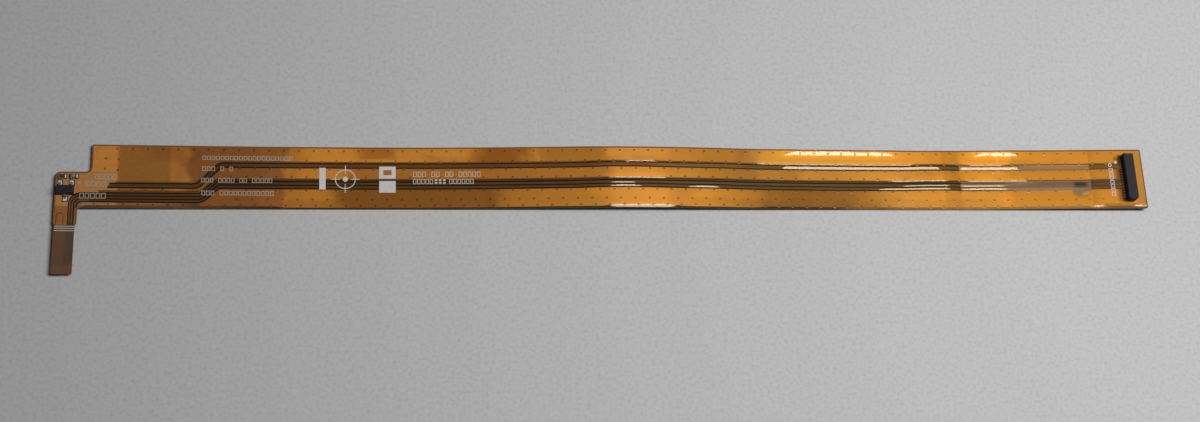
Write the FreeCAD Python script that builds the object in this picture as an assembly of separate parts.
import FreeCAD, Part
import math
import os
from FreeCAD import Vector

# Flat flex cable: an L-shaped printed film with a plug-in tail, a small
# three-lead sensor with two chip parts, and a board connector at the far end.
# All lengths are in millimetres. While it is built, x runs from the band's left
# end to the connector, y from the band's lower edge, and z from the table.

os.makedirs("parts", exist_ok=True)

# Band
band_length = 184.7
band_width = 11.2
band_corner_r = 0.25
film_thickness = 0.12
copper_relief = 0.03

# Tab to the left of the band, which carries the sensor and the tail
tab_reach = 5.65
tab_top_y = 6.35
tab_corner_r = 0.85
notch_fillet_r = 0.8

# Tail that goes into a clamping socket
tail_reach = 11.4
tail_neck_width = 3.8
tail_width = 3.3
tail_step_y = -2.73
tail_step_drop = 0.3
tail_corner_r = 0.25
tail_root_fillet_r = 0.45
tail_stiffener_length = 8.35
tail_stiffener_thickness = 0.2

# Contact fingers under the tail's end
finger_count = 6
finger_pitch = 0.5
finger_width = 0.3
finger_length = 3.4
finger_end_gap = 0.2
finger_thickness = 0.03

# Wave that the film keeps when it lies free: share of the whole length, height
wave_points = [
    (0.0, 0.8),
    (0.188, 0.0),
    (0.335, 0.0),
    (0.514, 1.75),
    (0.667, 0.0),
    (0.819, 0.0),
    (1.0, 1.4),
]
wave_bend_share = 0.45

# Backings under the film
tab_backing_end_x = 14.0
tab_backing_thickness = 0.1
strip_start_x = 31.2
strip_end_gap = 24.3
strip_thickness = 0.05
connector_stiffener_length = 9.8
connector_stiffener_thickness = 0.2

# Etched lines that part the traces: they show dark, the copper beside them light
line_width = 0.24
lane_bend_r = 0.7
jog_end_bend_r = 0.9
upper_line_count = 2
upper_line_pitch = 0.78
upper_lane_start_x = 2.75
upper_lane_low_y = 3.58
upper_jog_x = 17.49
upper_jog_rise = 3.82
upper_jog_bend_r = 2.0
lane_end_stagger = 0.35
lower_line_count = 4
lower_line_pitch = 0.52
tail_line_pitch = 0.42
lower_lane_low_y = 1.08
lower_jog_x = 18.38
lower_jog_rise = 2.55
lower_jog_bend_r = 2.4

# Short, narrow line along the lower lane's top, before the jog
short_line_width = 0.16
short_line_y = 3.02
short_line_start_x = 1.4
short_line_end_x = 17.6

# Arch-shaped etched line on the tail's neck
arch_width = 1.1
arch_height = 1.85
arch_line_width = 0.12
arch_from_left = 1.1
arch_bend_share = 0.45

# Half-round clearing in the copper beside the connector's stiffener
clearing_r = 1.95
clearing_from_stiffener = 2.07
clearing_lift = 0.55

# Board connector
connector_length = 8.75
connector_width = 1.85
connector_height = 1.5
connector_inset = 3.0
connector_end_chamfer = 0.45
connector_square_end_chamfer = 0.08
connector_top_chamfer = 0.12
connector_foot_height = 0.18
lead_rows_pitch = 0.5
lead_row_count = 15
lead_row_width = 0.2
lead_row_reach = 0.3
lead_row_thickness = 0.1

# Sensor: a moulded body with three gull-wing leads
sensor_x = -3.85
sensor_y = 2.97
sensor_length = 2.9
sensor_width = 1.55
sensor_height = 0.95
sensor_standoff = 0.08
sensor_draft = 0.09
sensor_parting_share = 0.55
sensor_lead_pitch = 1.9
sensor_lead_width = 0.4
sensor_lead_thickness = 0.12
sensor_lead_span = 2.95
sensor_lead_foot = 0.4
sensor_lead_lean = 0.07
sensor_lead_bend_r = 0.13

# Chip parts
chip_length = 1.0
chip_width = 0.5
chip_end_length = 0.22
chip_end_wall = 0.02
capacitor_x = -2.66
capacitor_height = 0.45
resistor_x = -4.52
resistor_height = 0.3
chip_y = 5.47

# Solder and the etched rings around its pads
solder_thickness = 0.03
solder_margin = 0.12
solder_toe = 0.3
solder_rise = 0.6
pad_ring_width = 0.16

# Values worked out from the sizes above
whole_length = tab_reach + band_length
neck_right_x = tail_neck_width - tab_reach
tail_axis_x = -tab_reach + tail_neck_width / 2
tail_left_x = tail_axis_x - tail_width / 2
tail_right_x = tail_axis_x + tail_width / 2
tail_full_y = tail_step_y - tail_step_drop
tail_line_x = neck_right_x - line_width / 2
connector_x = band_length - connector_inset
connector_left_x = connector_x - connector_width / 2
stiffener_left_x = band_length - connector_stiffener_length
strip_end_x = stiffener_left_x - strip_end_gap
cut_clearance = 1.0
side_margin = 2.0
seat_half_span = 1.0


def plan_point(u, v):
    return Vector(u, v, 0)


def wave_point(u, v):
    return Vector(u, 0, v)


def bend_edges(points, radii, shift, to_space):
    """Straight runs joined by tangent arcs, moved to the left by shift."""
    flat = [Vector(u, v, 0) for u, v in points]
    edges = []
    ways = [(b - a).normalize() for a, b in zip(flat, flat[1:])]
    lefts = [Vector(-w.y, w.x, 0) for w in ways]
    last = flat[0] + lefts[0] * shift
    for i, radius in enumerate(radii, start=1):
        into, out = ways[i - 1], ways[i]
        turn = math.atan2(into.cross(out).z, into.dot(out))
        side = math.copysign(1.0, turn)
        reach = radius * math.tan(abs(turn) / 2)
        start = flat[i] - into * reach
        centre = start + lefts[i - 1] * (radius * side)
        to_corner = (flat[i] - centre).normalize()
        first = start + lefts[i - 1] * shift
        middle = centre + to_corner * (radius - shift * side)
        end = flat[i] + out * reach + lefts[i] * shift
        edges.append(("line", last, first))
        edges.append(("arc", first, middle, end))
        last = end
    edges.append(("line", last, flat[-1] + lefts[-1] * shift))
    made = []
    for edge in edges:
        ends = [to_space(p.x, p.y) for p in edge[1:]]
        if edge[0] == "arc":
            made.append(Part.Arc(*ends).toShape())
        else:
            made.append(Part.makeLine(*ends))
    return made


def ribbon_face(points, radii, low, high, to_space):
    """Face between two lines that run beside each other along the same bends."""
    near = bend_edges(points, radii, low, to_space)
    far = bend_edges(points, radii, high, to_space)
    start = Part.makeLine(near[0].Vertexes[0].Point, far[0].Vertexes[0].Point)
    end = Part.makeLine(near[-1].Vertexes[-1].Point, far[-1].Vertexes[-1].Point)
    wire = Part.Wire(Part.__sortEdges__(near + [end] + far + [start]))
    return Part.Face(wire)


def wave_line():
    """Points and bend radii of the film's underside, seen from the front."""
    points = [(share * whole_length - tab_reach, height + strip_thickness)
              for share, height in wave_points]
    flat = [Vector(u, v, 0) for u, v in points]
    radii = []
    for before, here, after in zip(flat, flat[1:], flat[2:]):
        turn = (here - before).getAngle(after - here)
        shorter = min((here - before).Length, (after - here).Length)
        radii.append(wave_bend_share * shorter / math.tan(turn / 2))
    first_slope = (points[1][1] - points[0][1]) / (points[1][0] - points[0][0])
    last_slope = (points[-1][1] - points[-2][1]) / (points[-1][0] - points[-2][0])
    points[0] = (points[0][0] - side_margin, points[0][1] - side_margin * first_slope)
    points[-1] = (points[-1][0] + side_margin, points[-1][1] + side_margin * last_slope)
    return points, radii


def wave_layer(low, high):
    """Solid layer that follows the wave, between two heights above its underside."""
    points, radii = wave_line()
    face = ribbon_face(points, radii, low, high, wave_point)
    face.translate(Vector(0, -tail_reach - side_margin, 0))
    return face.extrude(Vector(0, band_width + tail_reach + 2 * side_margin, 0))


def surface_height(x, above=0.0):
    """Height of the wave above the table at x, and so much above its underside."""
    probe = Part.makeLine(Vector(x, 0, -side_margin), Vector(x, 0, 10 * side_margin))
    points, radii = wave_line()
    line = Part.Wire(bend_edges(points, radii, above, wave_point))
    return line.distToShape(probe)[1][0][0].z


def prism(face):
    """Upright prism through all layers over a face drawn in plan."""
    face = face.copy()
    face.translate(Vector(0, 0, -side_margin))
    return face.extrude(Vector(0, 0, 5 * side_margin))


def on_layer(faces, low, high):
    """What plan faces keep of a layer of the wave: one solid for each face."""
    layer = wave_layer(low, high)
    solids = []
    for face in faces:
        solids.extend(layer.common(prism(face)).Solids)
    return solids


def polygon_face(corners):
    points = [Vector(u, v, 0) for u, v in corners]
    return Part.Face(Part.makePolygon(points + [points[0]]))


def rectangle_face(left, right, low, high):
    return polygon_face([(left, low), (right, low), (right, high), (left, high)])


def rounded_face(corners, radii):
    """Plan face with a round at each corner whose radius isn't zero."""
    solid = polygon_face(corners).extrude(Vector(0, 0, 1))
    for (u, v), radius in zip(corners, radii):
        if radius > 0:
            upright = [e for e in solid.Edges
                       if all(math.hypot(p.Point.x - u, p.Point.y - v) < 1e-6 for p in e.Vertexes)]
            solid = solid.makeFillet(radius, upright)
    base = min(solid.Faces, key=lambda f: f.CenterOfMass.z)
    return Part.Face(base.OuterWire)


def film_outline():
    """Plan of the whole film: band, notch, tab and stepped tail."""
    corners = [
        (0, band_width),
        (0, tab_top_y),
        (-tab_reach, tab_top_y),
        (-tab_reach, tail_step_y),
        (tail_left_x, tail_full_y),
        (tail_left_x, -tail_reach),
        (tail_right_x, -tail_reach),
        (tail_right_x, tail_full_y),
        (neck_right_x, tail_step_y),
        (neck_right_x, 0),
        (band_length, 0),
        (band_length, band_width),
    ]
    radii = [
        band_corner_r, notch_fillet_r, tab_corner_r,
        0, 0, tail_corner_r, tail_corner_r, 0, 0,
        tail_root_fillet_r, band_corner_r, band_corner_r,
    ]
    return rounded_face(corners, radii)


def lane_route(low_y, jog_x, rise, pitch, place):
    """Middle line of one etched line from its lane's first bend on: up at 45 degrees, along.

    The higher a line lies in its lane, the earlier it bends, so the slope is as wide.
    """
    y = low_y + place * pitch
    x = jog_x - place * pitch * math.tan(math.pi / 8)
    return [(x, y), (x + rise, y + rise), (connector_left_x, y + rise)]


def etched_line(route, radii, width=line_width):
    return ribbon_face(route, radii, -width / 2, width / 2, plan_point)


def upper_lane():
    """Etched lines of the upper lane, which starts at the tab's labels."""
    faces = []
    for place in range(upper_line_count):
        offset = place * upper_line_pitch
        start = (upper_lane_start_x + place * lane_end_stagger, upper_lane_low_y + offset)
        route = lane_route(upper_lane_low_y, upper_jog_x, upper_jog_rise, upper_line_pitch, place)
        faces.append(etched_line([start] + route, [upper_jog_bend_r - offset, jog_end_bend_r + offset]))
    return faces


def lower_lane():
    """Etched lines of the lower lane, which turn in from the tail, and the short line over them."""
    faces = []
    for place in range(lower_line_count):
        offset = place * lower_line_pitch
        x = tail_line_x - place * tail_line_pitch
        start = [(x, -tail_reach + cut_clearance), (x, lower_lane_low_y + offset)]
        route = lane_route(lower_lane_low_y, lower_jog_x, lower_jog_rise, lower_line_pitch, place)
        radii = [lane_bend_r + place * tail_line_pitch, lower_jog_bend_r - offset, jog_end_bend_r + offset]
        faces.append(etched_line(start + route, radii))
    short_route = [(short_line_start_x, short_line_y), (short_line_end_x, short_line_y)]
    faces.append(etched_line(short_route, [], short_line_width))
    return faces


def arch_line():
    """Thin etched line in the shape of an arch on the tail's neck."""
    left = -tab_reach + arch_from_left - arch_width / 2
    right = left + arch_width
    top = tail_step_y + arch_height
    route = [(left, tail_step_y), (left, top), (right, top), (right, tail_step_y)]
    rounds = [arch_width * arch_bend_share] * 2
    return ribbon_face(route, rounds, -arch_line_width / 2, arch_line_width / 2, plan_point)


def half_round_clearing():
    """Half disc without copper, under the lower lane beside the stiffener's edge."""
    low_y = lower_lane_low_y + lower_jog_rise
    centre = Vector(stiffener_left_x - clearing_from_stiffener, low_y + clearing_r * clearing_lift, 0)
    disc = Part.Face(Part.Wire(Part.makeCircle(clearing_r, centre)))
    below = rectangle_face(centre.x - clearing_r, centre.x + clearing_r, centre.y - clearing_r, low_y)
    return disc.common(below).Faces[0]


def pad_ring(left, right, low, high):
    """Etched ring around one soldering pad."""
    outer = rectangle_face(left - pad_ring_width, right + pad_ring_width,
                           low - pad_ring_width, high + pad_ring_width)
    return outer.cut(rectangle_face(left, right, low, high)).Faces[0]


def lead_places():
    """Middle x and way out (+1 or -1 in y) of the sensor's three leads."""
    half = sensor_lead_pitch / 2
    return [(sensor_x - half, 1), (sensor_x + half, 1), (sensor_x, -1)]


def lead_pads():
    """Pad rectangles under the sensor's feet, as left, right, low, high."""
    pads = []
    for x, way in lead_places():
        tip = sensor_y + way * (sensor_lead_span / 2 + solder_toe)
        heel = sensor_y + way * (sensor_lead_span / 2 - sensor_lead_foot)
        left = x - sensor_lead_width / 2 - solder_margin
        right = x + sensor_lead_width / 2 + solder_margin
        pads.append((left, right, min(tip, heel), max(tip, heel)))
    return pads


def chip_pads(x):
    """Pad rectangles under a chip part's two ends."""
    low = chip_y - chip_width / 2 - solder_margin / 2
    high = chip_y + chip_width / 2 + solder_margin / 2
    outer = chip_length / 2 + solder_toe / 2
    inner = chip_length / 2 - chip_end_length
    return [(x - outer, x - inner, low, high), (x + inner, x + outer, low, high)]


def flex_film():
    """The one-piece film, with its etched lines and pad rings cut into the top."""
    film = on_layer([film_outline()], 0, film_thickness)[0]
    faces = upper_lane() + lower_lane() + [arch_line(), half_round_clearing()]
    for pad in lead_pads() + chip_pads(capacitor_x) + chip_pads(resistor_x):
        faces.append(pad_ring(*pad))
    etched = on_layer(faces, film_thickness - copper_relief, film_thickness + cut_clearance)
    return film.cut(etched)


def tail_stiffener():
    """Stiff plate on top of the tail, which the socket's clamp presses on."""
    corners = [
        (tail_left_x, -tail_reach),
        (tail_right_x, -tail_reach),
        (tail_right_x, -tail_reach + tail_stiffener_length),
        (tail_left_x, -tail_reach + tail_stiffener_length),
    ]
    plan = rounded_face(corners, [tail_corner_r, tail_corner_r, 0, 0])
    top = film_thickness + tail_stiffener_thickness
    return on_layer([plan], film_thickness, top)[0]


def contact_fingers():
    """Row of contact fingers on the underside of the tail's end."""
    faces = []
    first = tail_axis_x - (finger_count - 1) * finger_pitch / 2
    low = -tail_reach + finger_end_gap
    for i in range(finger_count):
        x = first + i * finger_pitch
        faces.append(rectangle_face(x - finger_width / 2, x + finger_width / 2, low, low + finger_length))
    return Part.makeCompound(on_layer(faces, -finger_thickness, 0))


def tab_backing():
    """Backing film under the tab and the band's first stretch."""
    span = rectangle_face(-tab_reach, tab_backing_end_x, tail_step_y, band_width)
    plan = film_outline().common(span).Faces[0]
    return on_layer([plan], -tab_backing_thickness, 0)[0]


def adhesive_strip():
    """Thin adhesive strip under the middle of the band."""
    plan = rectangle_face(strip_start_x, strip_end_x, 0, band_width)
    return on_layer([plan], -strip_thickness, 0)[0]


def connector_stiffener():
    """Stiff plate under the connector end."""
    plan = film_outline().common(rectangle_face(stiffener_left_x, band_length, 0, band_width)).Faces[0]
    return on_layer([plan], -connector_stiffener_thickness, 0)[0]


def seat(shape, x):
    """Turn and lift a part drawn on a level film top at z = 0, so that it sits at x."""
    left = surface_height(x - seat_half_span, film_thickness)
    right = surface_height(x + seat_half_span, film_thickness)
    slope = math.degrees(math.atan2(right - left, 2 * seat_half_span))
    seated = shape.copy()
    seated.rotate(Vector(x, 0, 0), Vector(0, 1, 0), -slope)
    seated.translate(Vector(0, 0, (left + right) / 2))
    return seated


def centred_box(x, y, size_x, size_y, low, high):
    corner = Vector(x - size_x / 2, y - size_y / 2, low)
    return Part.makeBox(size_x, size_y, high - low, corner)


def connector_housing():
    """Moulded housing: a block notched over its leads, with one end chamfered to mark it."""
    y = band_width / 2
    block = centred_box(connector_x, y, connector_width, connector_length, 0, connector_height)
    upright = [e for e in block.Edges if abs(e.tangentAt(e.FirstParameter).z) > 0.99]
    marked = [e for e in upright if e.CenterOfMass.y < y]
    block = block.makeChamfer(connector_end_chamfer, marked)
    upright = [e for e in block.Edges if abs(e.tangentAt(e.FirstParameter).z) > 0.99]
    square = [e for e in upright if e.CenterOfMass.y > y + connector_length / 2 - 1e-3]
    block = block.makeChamfer(connector_square_end_chamfer, square)
    rim = [e for e in block.Edges
           if all(abs(v.Point.z - connector_height) < 1e-6 for v in e.Vertexes)]
    block = block.makeChamfer(connector_top_chamfer, rim)
    notch_length = (lead_row_count - 1) * lead_rows_pitch + 2 * lead_row_width
    for way in (-1, 1):
        side = connector_x + way * connector_width / 2
        notch = centred_box(side, y, lead_row_reach, notch_length, 0, connector_foot_height)
        block = block.cut(notch)
    return seat(block, connector_x)


def connector_leads():
    """Two rows of small flat leads that come out under the housing's long sides."""
    leads = []
    y_first = band_width / 2 - (lead_row_count - 1) * lead_rows_pitch / 2
    for way in (-1, 1):
        inner = connector_x + way * (connector_width / 2 - lead_row_reach / 2)
        outer = connector_x + way * (connector_width / 2 + lead_row_reach)
        for i in range(lead_row_count):
            y = y_first + i * lead_rows_pitch
            lead = centred_box((inner + outer) / 2, y, abs(outer - inner), lead_row_width,
                               0, lead_row_thickness)
            leads.append(seat(lead, connector_x))
    return Part.makeCompound(leads)


def drafted_half(low, high, low_inset, high_inset):
    """Half of the moulded body, narrower at one face by the mould's draft."""
    wires = []
    for z, inset in ((low, low_inset), (high, high_inset)):
        half_x = sensor_length / 2 - inset
        half_y = sensor_width / 2 - inset
        corners = [Vector(sensor_x + a * half_x, sensor_y + b * half_y, z)
                   for a, b in ((-1, -1), (1, -1), (1, 1), (-1, 1))]
        wires.append(Part.makePolygon(corners + [corners[0]]))
    return Part.makeLoft(wires, True, True)


def sensor_body():
    """Moulded body with draft above and below the line where the leads come out."""
    parting = solder_thickness + sensor_height * sensor_parting_share
    low = solder_thickness + sensor_standoff
    lower = drafted_half(low, parting, sensor_draft / 2, 0)
    upper = drafted_half(parting, solder_thickness + sensor_height, 0, sensor_draft)
    return seat(lower.fuse(upper).removeSplitter(), sensor_x)


def sensor_leads():
    """Gull-wing leads: out of the body, down, and out again as a foot."""
    leads = []
    half = sensor_lead_thickness / 2
    foot_z = solder_thickness + half
    exit_z = solder_thickness + sensor_height * sensor_parting_share - half
    knee = sensor_lead_span / 2 - sensor_lead_foot
    route = [(sensor_width / 2, exit_z), (knee - sensor_lead_lean, exit_z), (knee, foot_z),
             (sensor_lead_span / 2, foot_z)]
    for x, way in lead_places():
        def side_point(u, v, way=way):
            return Vector(0, sensor_y + way * u, v)
        bends = [sensor_lead_bend_r, sensor_lead_bend_r]
        face = ribbon_face(route, bends, -half, half, side_point)
        face.translate(Vector(x - sensor_lead_width / 2, 0, 0))
        leads.append(seat(face.extrude(Vector(sensor_lead_width, 0, 0)), sensor_x))
    return Part.makeCompound(leads)


def solder_wedge(pad, axis, way, rise):
    """Solder on one pad: a thin bed with a sloped toe, seen along the lead."""
    left, right, low, high = pad
    bed = Part.makeBox(right - left, high - low, solder_thickness, Vector(left, low, 0))
    if axis == "y":
        outer = high if way > 0 else low
        profile = [(outer, solder_thickness), (outer - way * solder_toe, solder_thickness),
                   (outer - way * solder_toe, solder_thickness + rise)]
        points = [Vector(left, u, v) for u, v in profile]
        along = Vector(right - left, 0, 0)
    else:
        outer = right if way > 0 else left
        reach = solder_toe / 2
        profile = [(outer, solder_thickness), (outer - way * reach, solder_thickness),
                   (outer - way * reach, solder_thickness + rise)]
        points = [Vector(u, low, v) for u, v in profile]
        along = Vector(0, high - low, 0)
    toe = Part.Face(Part.makePolygon(points + [points[0]])).extrude(along)
    return bed.fuse(toe).removeSplitter()


def sensor_solder():
    """Solder under and before each of the sensor's feet."""
    joints = []
    for pad, (x, way) in zip(lead_pads(), lead_places()):
        joints.append(seat(solder_wedge(pad, "y", way, sensor_lead_thickness), sensor_x))
    return Part.makeCompound(joints)


def chip_solder():
    """Solder under and before each end of the two chip parts."""
    joints = []
    for x, height in ((capacitor_x, capacitor_height), (resistor_x, resistor_height)):
        for pad, way in zip(chip_pads(x), (-1, 1)):
            joints.append(seat(solder_wedge(pad, "x", way, height * solder_rise), x))
    return Part.makeCompound(joints)


def chip_body(x, height):
    """Plain block of a chip part, inside its two metal ends."""
    wall = chip_end_wall
    block = centred_box(x, chip_y, chip_length - 2 * wall, chip_width - 2 * wall,
                        solder_thickness + wall, solder_thickness + height - wall)
    return seat(block, x)


def chip_ends(x, height):
    """Cup-shaped metal ends that wrap a chip part's block."""
    ends = []
    inside = centred_box(x, chip_y, chip_length - 2 * chip_end_wall, chip_width - 2 * chip_end_wall,
                         solder_thickness + chip_end_wall, solder_thickness + height - chip_end_wall)
    for way in (-1, 1):
        middle = x + way * (chip_length - chip_end_length) / 2
        cup = centred_box(middle, chip_y, chip_end_length, chip_width,
                          solder_thickness, solder_thickness + height)
        ends.append(seat(cup.cut(inside), x))
    return Part.makeCompound(ends)


def place(shape):
    """Move a finished piece so that the origin is under the middle of the cable."""
    placed = shape.copy()
    placed.translate(Vector(-(band_length - tab_reach) / 2, -(band_width - tail_reach) / 2, 0))
    return placed


pieces = {
    "flex_film": flex_film(),
    "tail_stiffener": tail_stiffener(),
    "contact_fingers": contact_fingers(),
    "tab_backing": tab_backing(),
    "adhesive_strip": adhesive_strip(),
    "connector_stiffener": connector_stiffener(),
    "connector_housing": connector_housing(),
    "connector_leads": connector_leads(),
    "sensor_body": sensor_body(),
    "sensor_leads": sensor_leads(),
    "sensor_solder": sensor_solder(),
    "capacitor_body": chip_body(capacitor_x, capacitor_height),
    "capacitor_ends": chip_ends(capacitor_x, capacitor_height),
    "resistor_body": chip_body(resistor_x, resistor_height),
    "resistor_ends": chip_ends(resistor_x, resistor_height),
    "chip_solder": chip_solder(),
}

for name, shape in pieces.items():
    place(shape).exportStep("parts/" + name + ".step")
